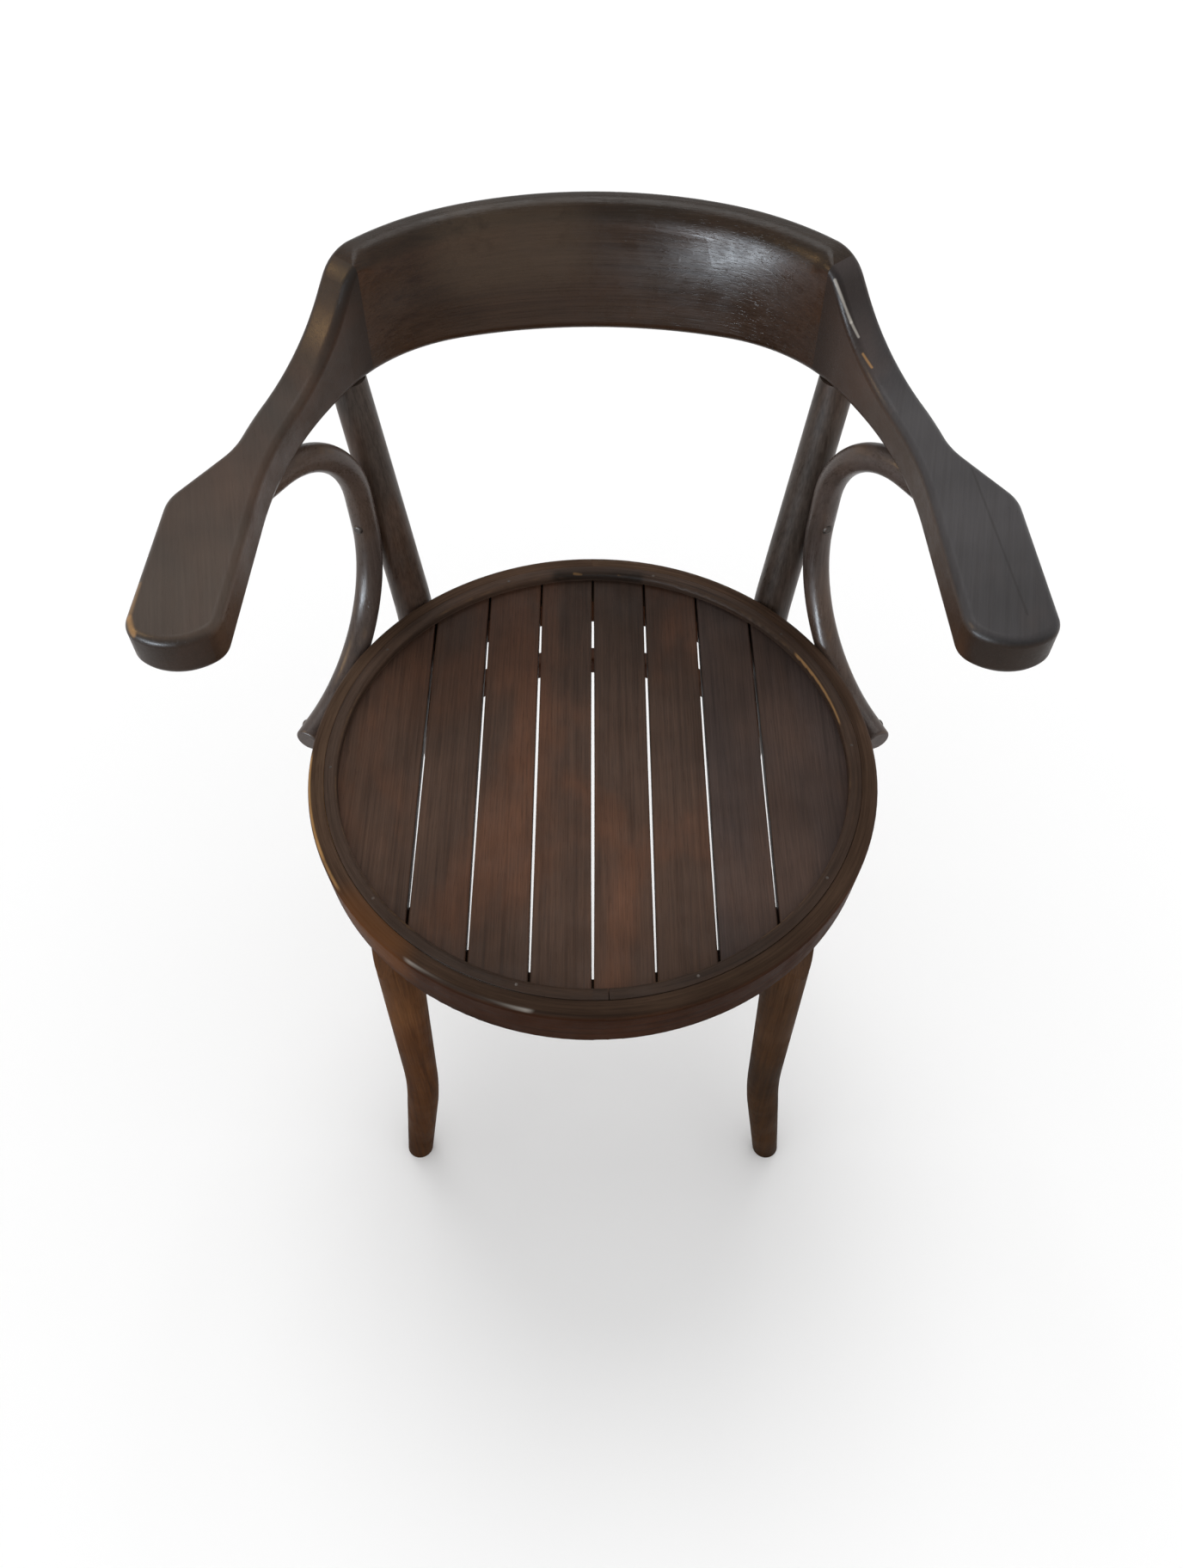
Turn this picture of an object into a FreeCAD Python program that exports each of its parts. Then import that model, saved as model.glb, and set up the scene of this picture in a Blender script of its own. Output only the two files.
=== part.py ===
"""Bentwood armchair: round slatted seat, bent posts and loops, shaped arms and a tall curved crest.

Millimetres, +Z up, the sitter faces -Y. The chair is laid out about the seat's centre with the floor at
z = 0, and moved at the end so that the origin is on the floor under the middle of its outline.
"""

import FreeCAD
import Part
import math
import os

Vector = FreeCAD.Vector
UP = Vector(0, 0, 1)

# Fits
glue_gap = 0.05
seat_gap = 0.2
hole_gap = 0.1

# Seat ring and its rabbet
seat_height = 460.0
ring_radius = 220.0
ring_width = 38.0
ring_height = 43.0
ring_taper = 2.5
ring_lip = 13.0
ring_top_round = 6.0
ring_foot_round = 3.0
groove_round = 0.5
rabbet_depth = 18.0

# Slats and bead
slat_count = 8
slat_pitch = 44.2
slat_gap = 2.5
slat_end_gap = 1.2
slat_thickness = 11.0
slat_edge_round = 1.2
bead_width = 10.0
bead_height = 7.5
bead_round = 3.5
bead_butt_gap = 0.6
bead_butt_azimuth = 177.0
nail_count = 10
nail_radius = 1.1
nail_length = 13.0

# Front legs: two straight tapered runs with a bend at the knee, all in one upright plane
front_leg_azimuth = 134.0
front_leg_inset = 17.0
front_leg_top_radius = 18.0
front_leg_knee_radius = 14.3
front_leg_foot_radius = 11.9
front_leg_lean = 1.6
front_leg_foot_lean = 7.3
front_leg_knee_level = 155.0
front_leg_bend_radius = 700.0
front_leg_kick_azimuth = 97.0
leg_tenon_radius = 9.0
leg_tenon_length = 20.0
leg_flush_length = 45.0

# Rear legs: foot, upright run past the ring, and a post that leans out to the arm
rear_leg_radius = 16.0
rear_leg_top_radius = 14.0
rear_leg_knee_radius = 15.0
rear_leg_foot_radius = 12.5
rear_leg_saddle = 2.0
rear_leg_bend_radius = 230.0
rear_leg_foot_lean = 11.0
rear_leg_knee_level = 175.0
rear_leg_knee_bend_radius = 700.0
rear_tenon_radius = 9.0
rear_tenon_length = 22.0
rear_tenon_from_joint = 15.0
bolt_radius = 3.5
bolt_head_radius = 9.0
bolt_head_height = 4.0
bolt_below_ledge = 12.0
washer_radius = 9.0
washer_thickness = 1.6
nut_width = 12.0
nut_height = 6.0
bolt_end = 3.0

# Hoop under the seat
hoop_centre_y = 16.0
hoop_level = 330.0
hoop_width = 18.0
hoop_height = 20.0
hoop_round = 4.0
hoop_let_in = 1.0
hoop_past_leg = 6.0

# Arms and crest: plan of the inner face, as a mid arc, a corner arc and an arm arc with tangent joins
arm_underside = 655.0
arm_thickness = 30.0
rail_width = 28.0
crest_height = 90.0
crest_top_width = 23.5
crest_lean = 21.0
crest_depth = 262.5
crest_mid_radius = 394.0
crest_mid_angle = 15.0
crest_top_angle = 20.0
corner_radius = 120.0
joint_angle = 50.0
corner_angle = 60.0
arm_radius = 326.0
arm_angle = 88.0
rail_round = 6.0
crest_top_round = 17.0

# Shoulder that leads from the crest's top down to the arm
shoulder_start = 16.0
shoulder_radius = 35.0
shoulder_angle = 52.0
sweep_radius = 100.0

# Paddle at the front of the arm
flare_start_angle = 78.0
flare_radius = 60.0
flare_angle = 55.0
flare_run = 41.0
flare_shoulder_radius = 30.0
paddle_front = 70.5
paddle_bow = 15.0
paddle_corner_radius = 18.0
cheek_width = 26.0

# Dowels across the arm and crest joints
dowel_radius = 4.0
dowel_half_length = 17.0
dowel_levels = (29.0, 46.0)

# Loops between arm, post and ring
loop_radius = 10.7
loop_below_ring_top = 30.0
loop_contact_drop = 8.0
loop_lower_bend = 116.0
loop_upper_bend = 70.0
loop_lower_run = 23.007
loop_upper_run = 22.0
loop_upper_heading = 57.0
loop_tilt = 2.2
loop_let_in = 1.0
loop_end_round = 2.5

# Round-head screws
screw_radius = 2.0
screw_length = 34.0
screw_head_radius = 4.0
screw_head_height = 2.2
screw_head_round = 2.0
loop_ring_screws = (15.0, 53.0)
loop_post_screw = 2.0
loop_arm_screw = 10.0
hoop_screw_sink = 0.5

# Spare length of a leg before it is cut level
spare_length = 15.0

# How the edges to round are told from the smooth ones
same_place = 0.01
sharp_angle = 25.0

# Values that follow from the sizes above
ring_bottom = seat_height - ring_height
ring_inner = ring_radius - ring_width
ledge_level = seat_height - rabbet_depth
rabbet_radius = ring_radius - ring_lip
slat_top = ledge_level + slat_thickness
front_leg_centre = ring_radius - front_leg_inset
arm_top = arm_underside + arm_thickness
crest_top = arm_underside + crest_height


def polar(radius, azimuth, z=0.0):
    """Point at a radius and an azimuth in degrees, counted from the back towards the sitter's left hand."""
    angle = math.radians(azimuth)
    return Vector(radius * math.sin(angle), radius * math.cos(angle), z)


def sine(angle):
    return math.sin(math.radians(angle))


def cosine(angle):
    return math.cos(math.radians(angle))


def mirrored(shape):
    return shape.mirror(Vector(0, 0, 0), Vector(1, 0, 0))


def both_sides(shape):
    return Part.makeCompound([shape, mirrored(shape)])


def rod(radius, start, end):
    """Straight round bar between two points."""
    span = end.sub(start)
    return Part.makeCylinder(radius, span.Length, start, span)


def line(start, end):
    return Part.LineSegment(start, end).toShape()


def arc(start, middle, end):
    return Part.Arc(start, middle, end).toShape()


def turn(start, heading, new_heading, radius):
    """Plan arc that turns from one heading to another; heading 0 is +X and 90 is -Y."""
    side = 1.0 if new_heading > heading else -1.0

    def at(angle):
        shift = Vector(sine(angle) - sine(heading), cosine(angle) - cosine(heading), 0)
        return start.add(shift.multiply(side * radius))

    end = at(new_heading)
    return arc(start, at((heading + new_heading) / 2), end), end


def run(start, heading, length):
    end = start.add(Vector(cosine(heading), -sine(heading), 0).multiply(length))
    return line(start, end), end


def tapered(start, end, start_radius, end_radius):
    span = end.sub(start)
    if start_radius == end_radius:
        return rod(start_radius, start, end)
    return Part.makeCone(start_radius, end_radius, span.Length, start, span)


def bent_bar(corners, bends, radii):
    """Round bar along a line with bent corners; its radius changes on the straight runs only."""
    pieces = []
    start = corners[0]
    for index, bend in enumerate(bends):
        corner = corners[index + 1]
        before = corner.sub(corners[index]).normalize()
        after = corners[index + 2].sub(corner).normalize()
        angle = before.getAngle(after)
        setback = bend * math.tan(angle / 2)
        bend_start = corner.sub(before * setback)
        axis = before.cross(after).normalize()
        centre = bend_start.add(axis.cross(before) * bend)
        section = Part.Face(Part.Wire(Part.makeCircle(radii[index + 1], bend_start, before)))
        pieces.append(tapered(start, bend_start, radii[index], radii[index + 1]))
        pieces.append(section.revolve(centre, axis, math.degrees(angle)))
        start = corner.add(after * setback)
    pieces.append(tapered(start, corners[-1], radii[-2], radii[-1]))
    return pieces[0].fuse(pieces[1:])


def flat_depth(rod_radius, head_radius):
    """How deep a flat as wide as a head lies in the side of a round rod."""
    return rod_radius - math.sqrt(rod_radius ** 2 - head_radius ** 2)


def tangent(angle):
    return math.tan(math.radians(angle))


def on_line(low, high, level):
    """Point of a straight line at a level."""
    return low + (high - low) * ((level - low.z) / (high.z - low.z))


def lies_in(points, plane_point, normal):
    return all(abs(point.sub(plane_point).dot(normal)) < same_place for point in points)


def sharp_edges(shape, joint_planes):
    """Edges where two faces meet at an angle, without those that lie in a joint plane."""
    chosen = []
    for edge in shape.Edges:
        ends = [vertex.Point for vertex in edge.Vertexes]
        if any(lies_in(ends, point, normal) for point, normal in joint_planes):
            continue
        faces = shape.ancestorsOfType(edge, Part.Face)
        if len(faces) != 2:
            continue
        middle = edge.valueAt((edge.FirstParameter + edge.LastParameter) / 2)
        normals = [face.normalAt(*face.Surface.parameter(middle)) for face in faces]
        if abs(normals[0].dot(normals[1])) < cosine(sharp_angle):
            chosen.append(edge)
    return chosen


# Seat

def turned_ring(corners):
    """Ring turned about the upright axis from the corners of its section, given as radius and level."""
    points = [Vector(radius, 0, level) for radius, level in corners]
    face = Part.Face(Part.makePolygon(points + points[:1]))
    return face.revolve(Vector(0, 0, 0), UP, 360.0)


def rims(shape, radius, level):
    """Edges that run round the upright axis at a radius and a level."""
    chosen = []
    for edge in shape.Edges:
        ends = [vertex.Point for vertex in edge.Vertexes]
        if all(abs(math.hypot(p.x, p.y) - radius) + abs(p.z - level) < same_place for p in ends):
            chosen.append(edge)
    return chosen


def ring_side(level):
    """Radius of the ring's slanted outside at a level."""
    return ring_radius - ring_taper * (seat_height - level) / ring_height


def make_ring():
    ring = turned_ring([
        (ring_inner, ring_bottom),
        (ring_side(ring_bottom), ring_bottom),
        (ring_radius, seat_height),
        (rabbet_radius, seat_height),
        (rabbet_radius, ledge_level),
        (ring_inner, ledge_level),
    ])
    ring = ring.makeFillet(ring_top_round, rims(ring, ring_radius, seat_height))
    ring = ring.makeFillet(groove_round, rims(ring, rabbet_radius, seat_height))
    return ring.makeFillet(ring_foot_round, rims(ring, ring_side(ring_bottom), ring_bottom))


def slat_edge(x, side):
    """Plan edge of a slat from front to back, hollow so that the gap is widest in the middle."""
    hollow = side * (slat_gap - slat_end_gap) / 2
    return [Vector(x, -ring_radius, 0), Vector(x - hollow, 0, 0), Vector(x, ring_radius, 0)]


def make_slats():
    """Slats cut from one disc by evenly spaced gaps that run front to back."""
    disc_radius = rabbet_radius - seat_gap
    slats = []
    half = slat_count / 2
    for index in range(slat_count):
        low = slat_edge((index - half) * slat_pitch + slat_end_gap / 2, -1)
        high = slat_edge((index + 1 - half) * slat_pitch - slat_end_gap / 2, 1)
        if index == 0:
            low = slat_edge(-ring_radius, 0)
        if index == slat_count - 1:
            high = slat_edge(ring_radius, 0)
        sides = [Part.BSplineCurve(), Part.BSplineCurve()]
        for curve, points in zip(sides, (low, high)):
            curve.interpolate(points)
        edges = [sides[0].toShape(), line(low[2], high[2]), sides[1].toShape(), line(high[0], low[0])]
        strip = Part.Face(Part.Wire(Part.__sortEdges__(edges))).extrude(UP * slat_thickness)
        strip.translate(UP * ledge_level)
        disc = Part.makeCylinder(disc_radius, slat_thickness, Vector(0, 0, ledge_level))
        slat = disc.common(strip).Solids[0]
        long_edges = []
        for edge in slat.Edges:
            middle = edge.valueAt((edge.FirstParameter + edge.LastParameter) / 2)
            inside = math.hypot(middle.x, middle.y) < disc_radius - same_place
            if inside and edge.BoundBox.ZMin > slat_top - same_place:
                long_edges.append(edge)
        slats.append(slat.makeFillet(slat_edge_round, long_edges))
    return slats


def sector(azimuth, angle, radius, height):
    """Upright wedge that starts at an azimuth, to cut a gap of an angle in a ring."""
    wedge = Part.makeCylinder(radius, height, Vector(0, 0, 0), UP, angle)
    wedge.rotate(Vector(0, 0, 0), UP, 90.0 - azimuth)
    return wedge


def make_bead():
    outer = rabbet_radius - seat_gap
    inner = rabbet_radius - bead_width
    top = slat_top + bead_height
    bead = turned_ring([(inner, slat_top), (outer, slat_top), (outer, top), (inner, top)])
    bead = bead.makeFillet(bead_round, rims(bead, inner, top))
    bead = bead.makeFillet(groove_round, rims(bead, outer, top))
    gap_angle = math.degrees(bead_butt_gap / outer)
    return bead.cut(sector(bead_butt_azimuth, gap_angle, ring_radius, 2 * seat_height))


def nail_places():
    """Nails spread evenly round the bead, half a step away from its butt joint."""
    step = 360.0 / nail_count
    radius = rabbet_radius - bead_width / 2
    return [polar(radius, bead_butt_azimuth + (i + 0.5) * step) for i in range(nail_count)]


def make_nail(place):
    top = slat_top + bead_height
    return rod(nail_radius, place.add(UP * (top - nail_length)), place.add(UP * top))


def nail_hole(place):
    top = slat_top + bead_height
    low = place.add(UP * (top - nail_length - seat_gap))
    return rod(nail_radius + glue_gap, low, place.add(UP * (top + seat_gap)))


# Legs

def front_leg_corners():
    """Centre line of the left-hand front leg from above the ring's underside to below the floor."""
    kick = polar(1.0, front_leg_kick_azimuth)
    top = front_leg_top()
    shift = (ring_bottom - front_leg_knee_level) * tangent(front_leg_lean)
    knee = top.add(kick * shift).sub(UP * (ring_bottom - front_leg_knee_level))
    drop = front_leg_knee_level + spare_length
    foot = knee.add(kick * (drop * tangent(front_leg_foot_lean))).sub(UP * drop)
    start = top.sub(kick * (spare_length * tangent(front_leg_lean))).add(UP * spare_length)
    return [start, knee, foot]


def front_leg_top():
    return polar(front_leg_centre, front_leg_azimuth, ring_bottom)


def between(shape, low, high):
    """The part of a shape between two levels."""
    reach = 4 * ring_radius
    corner = Vector(-reach / 2, -reach / 2, low)
    return shape.common(Part.makeBox(reach, reach, high - low, corner))


def make_front_leg():
    radii = [front_leg_top_radius, front_leg_knee_radius, front_leg_foot_radius]
    leg = between(bent_bar(front_leg_corners(), [front_leg_bend_radius], radii), 0, ring_bottom)
    top = front_leg_top()
    return leg.cut(leg_flush()).fuse(rod(leg_tenon_radius, top, top.add(UP * leg_tenon_length)))


def leg_flush():
    """What is planed off the top of a front leg, so that it ends flush with the ring's outside."""
    low = ring_bottom - leg_flush_length
    low_radius = front_leg_centre + front_leg_top_radius + ring_foot_round
    high_radius = ring_side(ring_bottom) - ring_foot_round
    outside = Part.makeCylinder(2 * ring_radius, leg_flush_length, Vector(0, 0, low))
    return outside.cut(Part.makeCone(low_radius, high_radius, leg_flush_length, Vector(0, 0, low)))


def front_leg_socket():
    top = front_leg_top()
    return rod(leg_tenon_radius + hole_gap, top, top.add(UP * (leg_tenon_length + seat_gap)))


def rear_post_foot():
    """Where the rear post's tenon enters the arm, level with the arm's underside."""
    joint = joint_points()
    middle = (joint["inner"] + joint["outer"]) * 0.5
    return middle.add(rail_heading() * rear_tenon_from_joint).add(UP * arm_underside)


def rear_leg_plan():
    """Azimuth of the rear leg's upright plane, and its centre line's radius at the ring and the arm."""
    top = rear_post_foot()
    azimuth = math.degrees(math.atan2(top.x, top.y))
    beside_ring = ring_side(rear_bend_level()) + rear_leg_radius - rear_leg_saddle
    return azimuth, beside_ring, math.hypot(top.x, top.y)


def rear_bend_level():
    return seat_height - ring_height / 2


def rear_leg_corners():
    """Centre line of the left-hand rear leg from below the floor to above the arm's underside."""
    azimuth, upright, high = rear_leg_plan()
    level = rear_bend_level()
    drop = rear_leg_knee_level + spare_length
    slope = (high - upright) / (arm_underside - level)
    return [
        polar(upright + drop * tangent(rear_leg_foot_lean), azimuth, -spare_length),
        polar(upright, azimuth, rear_leg_knee_level),
        polar(upright, azimuth, level),
        polar(high + spare_length * slope, azimuth, arm_underside + spare_length),
    ]


def make_rear_leg():
    radii = [rear_leg_foot_radius, rear_leg_knee_radius, rear_leg_radius, rear_leg_top_radius]
    bends = [rear_leg_knee_bend_radius, rear_leg_bend_radius]
    leg = between(bent_bar(rear_leg_corners(), bends, radii), 0, arm_underside)
    top = rear_post_foot()
    return leg.fuse(rod(rear_tenon_radius, top, top.add(UP * rear_tenon_length)))


def rear_leg_socket():
    top = rear_post_foot()
    return rod(rear_tenon_radius + hole_gap, top, top.add(UP * (rear_tenon_length + seat_gap)))


def bolt_line():
    """Radial line of the bolt through the rear leg and the ring, as a function of radius."""
    azimuth = rear_leg_plan()[0]
    level = ledge_level - bolt_below_ledge
    return lambda radius: polar(radius, azimuth, level)


def bolt_head_seat():
    """Radius at which the bolt's head sits on the outside of the rear leg."""
    return rear_leg_plan()[1] + rear_leg_radius - flat_depth(rear_leg_radius, bolt_head_radius)


def make_bolt():
    at = bolt_line()
    tip = ring_inner - washer_thickness - nut_height - bolt_end
    shank = rod(bolt_radius, at(tip), at(bolt_head_seat()))
    head = rod(bolt_head_radius, at(bolt_head_seat()), at(bolt_head_seat() + bolt_head_height))
    return head.fuse(shank).removeSplitter()


def bolt_hole():
    at = bolt_line()
    return rod(bolt_radius + hole_gap, at(ring_inner / 2), at(2 * ring_radius))


def bolt_head_recess():
    at = bolt_line()
    return rod(bolt_head_radius + hole_gap, at(bolt_head_seat()), at(2 * ring_radius))


def make_nut():
    """Hexagon nut with its washer, seated on the inside of the ring."""
    at = bolt_line()
    seat = ring_inner - washer_seat_depth()
    inward = at(0).sub(at(1))
    corner = nut_width / 2 / cosine(30)
    middle = at(seat - washer_thickness)
    across = UP.cross(inward)
    corners = []
    for index in range(7):
        angle = 60 * index
        corners.append(middle.add(UP * (corner * cosine(angle))).add(across * (corner * sine(angle))))
    nut = Part.Face(Part.makePolygon(corners)).extrude(inward * nut_height)
    washer = rod(washer_radius, at(seat), middle)
    hole = rod(bolt_radius + hole_gap, at(0), at(ring_radius))
    return nut.fuse(washer).cut(hole).removeSplitter()


def washer_seat_depth():
    """How far a flat seat for the washer sinks the inner face of the ring."""
    return math.sqrt(ring_inner ** 2 + washer_radius ** 2) - ring_inner


# Hoop under the seat

def front_leg_at_hoop():
    start, knee, foot = front_leg_corners()
    return on_line(knee, start, hoop_level)


def rear_leg_at_hoop():
    foot, knee, bend, top = rear_leg_corners()
    return on_line(knee, bend, hoop_level)


def hoop_centre():
    return Vector(0, hoop_centre_y, hoop_level)


def hoop_outer_radius():
    return rear_leg_at_hoop().sub(hoop_centre()).Length - rear_leg_radius + hoop_let_in


def make_hoop():
    """Bent strip from one front leg round the back to the other."""
    outer = hoop_outer_radius()
    inner = outer - hoop_width
    low = hoop_level - hoop_height / 2
    high = hoop_level + hoop_height / 2
    hoop = turned_ring([(inner, low), (outer, low), (outer, high), (inner, high)])
    long_edges = []
    for radius in (inner, outer):
        for level in (low, high):
            long_edges += rims(hoop, radius, level)
    hoop = hoop.makeFillet(hoop_round, long_edges)
    front = front_leg_at_hoop().sub(hoop_centre())
    end_azimuth = math.degrees(math.atan2(front.x, front.y) + hoop_past_leg / outer)
    opening = sector(360.0 - end_azimuth, 360.0 - 2 * end_azimuth, 2 * outer, 2 * hoop_level)
    hoop = hoop.cut(opening)
    hoop.translate(Vector(0, hoop_centre_y, 0))
    return hoop


# Arms and crest

def solve_arcs(centre_y, switch, end):
    """Mid and corner radii of a half curve from (0, centre_y) to an end with heading joint_angle."""
    a = sine(switch)
    b = sine(joint_angle) - sine(switch)
    c = 1 - cosine(switch)
    d = cosine(switch) - cosine(joint_angle)
    drop = centre_y - end.y
    determinant = a * d - b * c
    return (end.x * d - b * drop) / determinant, (a * drop - c * end.x) / determinant


def joint_points():
    """Ends of the crest in plan: the inner and outer corners of its left-hand joint face."""
    start = Vector(0, crest_depth, 0)
    edge, corner = turn(start, 0.0, crest_mid_angle, crest_mid_radius)
    edge, inner = turn(corner, crest_mid_angle, joint_angle, corner_radius)
    outward = Vector(sine(joint_angle), cosine(joint_angle), 0)
    return {"inner": inner, "outer": inner.add(outward * rail_width), "outward": outward}


def joint_planes():
    """Both joint faces between arm and crest, each as a point and a normal."""
    along = rail_heading()
    inner = joint_points()["inner"]
    other = Vector(-inner.x, inner.y, 0)
    return [(inner, along), (other, Vector(-along.x, along.y, 0))]


def rail_heading():
    """Direction of the rail where arm and crest meet, towards the front."""
    return Vector(cosine(joint_angle), -sine(joint_angle), 0)


def half_curve(centre_y, switch, end):
    """Three-point data of a half curve: centre, switch point, corner middle and end."""
    mid_radius, end_radius = solve_arcs(centre_y, switch, end)
    start = Vector(0, centre_y, 0)
    edge, switch_point = turn(start, 0.0, switch, mid_radius)
    edge, middle = turn(switch_point, switch, (switch + joint_angle) / 2, end_radius)
    return {"centre": start, "switch": switch_point, "middle": middle, "end": end}


def curve_edges(half, z, forward):
    """Edges of a whole curve at a level, from the right joint to the left one or back."""

    def left(name):
        return half[name].add(UP * z)

    def right(name):
        point = half[name]
        return Vector(-point.x, point.y, z)

    if forward:
        return [
            arc(right("end"), right("middle"), right("switch")),
            arc(right("switch"), left("centre"), left("switch")),
            arc(left("switch"), left("middle"), left("end")),
        ]
    return [
        arc(left("end"), left("middle"), left("switch")),
        arc(left("switch"), left("centre"), right("switch")),
        arc(right("switch"), right("middle"), right("end")),
    ]


def band_wire(inner_y, outer_y, switch, z):
    joint = joint_points()
    inner = half_curve(inner_y, switch, joint["inner"])
    outer = half_curve(outer_y, switch, joint["outer"])
    inner_edges = curve_edges(inner, z, True)
    outer_edges = curve_edges(outer, z, False)
    lift = UP * z
    there = line(joint["inner"].add(lift), joint["outer"].add(lift))
    back = line(
        Vector(-joint["outer"].x, joint["outer"].y, z),
        Vector(-joint["inner"].x, joint["inner"].y, z),
    )
    return Part.Wire(inner_edges + [there] + outer_edges + [back])


def shoulder_tool():
    """Everything above the left-hand shoulder: crest top, round, slope, sweep and arm top."""
    joint = joint_points()
    along = rail_heading()
    reach = 2 * ring_radius
    angle = shoulder_angle
    drop = crest_top - arm_top
    slope_length = (drop - (shoulder_radius + sweep_radius) * (1 - cosine(angle))) / sine(angle)

    def at(s, z):
        return joint["inner"].add(along * s).add(UP * z)

    def round_at(turned):
        s = -shoulder_start + shoulder_radius * sine(turned)
        return at(s, crest_top - shoulder_radius * (1 - cosine(turned)))

    slope_end_s = -shoulder_start + shoulder_radius * sine(angle) + slope_length * cosine(angle)
    sweep_end_s = slope_end_s + sweep_radius * sine(angle)

    def sweep_at(turned):
        return at(sweep_end_s - sweep_radius * sine(turned), arm_top + sweep_radius * (1 - cosine(turned)))

    above = crest_top + crest_height
    edges = [
        arc(round_at(0), round_at(angle / 2), round_at(angle)),
        line(round_at(angle), sweep_at(angle)),
        arc(sweep_at(angle), sweep_at(angle / 2), sweep_at(0)),
        line(sweep_at(0), at(reach, arm_top)),
        line(at(reach, arm_top), at(reach, above)),
        line(at(reach, above), at(-shoulder_start, above)),
        line(at(-shoulder_start, above), round_at(0)),
    ]
    face = Part.Face(Part.Wire(edges))
    face.translate(joint["outward"] * -reach)
    return face.extrude(joint["outward"] * (2 * reach))


def make_crest():
    lower = band_wire(crest_depth, crest_depth + rail_width, crest_mid_angle, arm_underside)
    top_inner = crest_depth + crest_lean
    upper = band_wire(top_inner, top_inner + crest_top_width, crest_top_angle, crest_top)
    crest = Part.makeLoft([lower, upper], True, True).cut(shoulder_tool())
    reach = 2 * ring_radius
    half = crest.common(Part.makeBox(reach, reach, reach, Vector(0, 0, arm_underside)))
    planes = joint_planes() + [(Vector(0, 0, 0), Vector(1, 0, 0))]
    half = half.makeFillet(crest_top_round, rail_round, inner_top_edges(half, planes))
    half = half.makeFillet(rail_round, sharp_edges(half, planes))
    return half.fuse(mirrored(half)).removeSplitter()


def inner_top_edges(half, planes):
    """Top edges of half a crest on the sitter's side, from the middle out to the joint."""
    chosen = []
    for edge in sharp_edges(half, planes):
        middle = edge.valueAt((edge.FirstParameter + edge.LastParameter) / 2)
        inward = Vector(-middle.x, -middle.y, 0).normalize()
        faces = half.ancestorsOfType(edge, Part.Face)
        facing = max(face.normalAt(*face.Surface.parameter(middle)).dot(inward) for face in faces)
        if middle.z > arm_top and facing > sine(sharp_angle):
            chosen.append(edge)
    return chosen


def arm_outline():
    """Plan of the left-hand arm with its cheek, as a closed wire at the arm's underside."""
    joint = joint_points()
    edge_1, inner_corner = turn(joint["inner"], joint_angle, corner_angle, corner_radius)
    edge_2, inner_arm = turn(inner_corner, corner_angle, arm_angle, arm_radius)
    edge_3, inner_front = run(inner_arm, arm_angle, (inner_arm.y + paddle_front) / sine(arm_angle))
    edge_4, outer_corner = turn(joint["outer"], joint_angle, corner_angle, corner_radius + rail_width)
    edge_5, outer_arm = turn(outer_corner, corner_angle, flare_start_angle, arm_radius + rail_width)
    edge_6, flare = turn(outer_arm, flare_start_angle, flare_angle, flare_radius)
    edge_7, shoulder = run(flare, flare_angle, flare_run)
    edge_8, paddle = turn(shoulder, flare_angle, arm_angle, flare_shoulder_radius)
    edge_9, outer_front = run(paddle, arm_angle, (paddle.y + paddle_front) / sine(arm_angle))
    bow = (inner_front + outer_front) * 0.5
    bow.y -= paddle_bow
    front = arc(outer_front, bow, inner_front)
    end = line(joint["inner"], joint["outer"])
    edges = [end, edge_4, edge_5, edge_6, edge_7, edge_8, edge_9, front, edge_3, edge_2, edge_1]
    wire = Part.Wire(Part.__sortEdges__(edges))
    wire.translate(UP * arm_underside)
    return wire, inner_front, outer_front


def make_arm():
    """Arm and cheek in one, rounded, before the cheek is parted off."""
    wire, inner_front, outer_front = arm_outline()
    arm = Part.Face(wire).extrude(UP * crest_height).cut(shoulder_tool())
    corners = []
    for edge in arm.Edges:
        box = edge.BoundBox
        upright = box.XLength < same_place and box.YLength < same_place
        at_front = min(
            edge.Vertexes[0].Point.sub(corner).cross(UP).Length for corner in (inner_front, outer_front)
        )
        if upright and at_front < same_place:
            corners.append(edge)
    arm = arm.makeFillet(paddle_corner_radius, corners)
    return arm.makeFillet(rail_round, sharp_edges(arm, joint_planes()))


def cheek_side():
    """Everything outside the glue face between the left-hand arm and its cheek."""
    outer_front = arm_outline()[2]
    forward = Vector(cosine(arm_angle), -sine(arm_angle), 0)
    outward = forward.cross(UP) * -1
    reach = 2 * ring_radius
    corner = outer_front.sub(outward * cheek_width).sub(forward * reach).add(UP * arm_underside)
    block = Part.makePolygon([
        corner,
        corner.add(forward * (2 * reach)),
        corner.add(forward * (2 * reach)).add(outward * reach),
        corner.add(outward * reach),
        corner,
    ])
    return Part.Face(block).extrude(UP * arm_thickness)


def dowel_ends(level):
    joint = joint_points()
    middle = (joint["inner"] + joint["outer"]) * 0.5
    middle = middle.add(UP * (arm_underside + level))
    reach = rail_heading() * dowel_half_length
    return middle.sub(reach), middle.add(reach)


def make_dowels():
    return [rod(dowel_radius, *dowel_ends(level)) for level in dowel_levels]


def dowel_holes():
    holes = []
    for level in dowel_levels:
        start, end = dowel_ends(level)
        spare = rail_heading() * seat_gap
        holes.append(rod(dowel_radius + hole_gap, start.sub(spare), end.add(spare)))
    return holes


# Loops

def post_at(level):
    """Centre of the left-hand rear post at a level between the ring and the arm."""
    foot, knee, bend, top = rear_leg_corners()
    return on_line(bend, top, level)


def post_radius(level):
    share = (level - rear_bend_level()) / (arm_underside - rear_bend_level())
    return rear_leg_radius + (rear_leg_top_radius - rear_leg_radius) * share


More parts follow.
